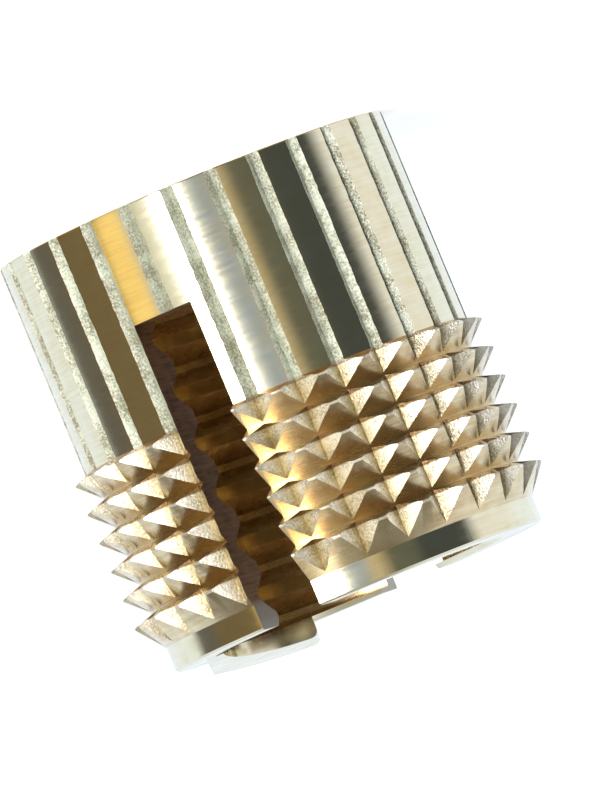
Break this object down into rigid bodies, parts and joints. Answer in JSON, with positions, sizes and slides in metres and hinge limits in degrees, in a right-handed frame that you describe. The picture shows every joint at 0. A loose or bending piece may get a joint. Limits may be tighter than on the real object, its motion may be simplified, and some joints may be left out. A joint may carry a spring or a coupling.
{
  "type": "threaded insert",
  "caption": "Brass press-in threaded insert: ribbed barrel, rows of buttress barbs, plain pilot and a saw-cut end whose legs the screw spreads.",
  "frame": {"origin": "centre of the ribbed end's flat face, on which the insert stands", "axes": "+Z along the thread's axis towards the pilot end; the saw cut runs along Y"},
  "size_m": [0.01, 0.01, 0.0106],
  "materials": {
    "brass": "turned and knurled, bright"
  },
  "bodies": {
    "root": {"insert_body": "brass"}
  },
  "joints": []
}
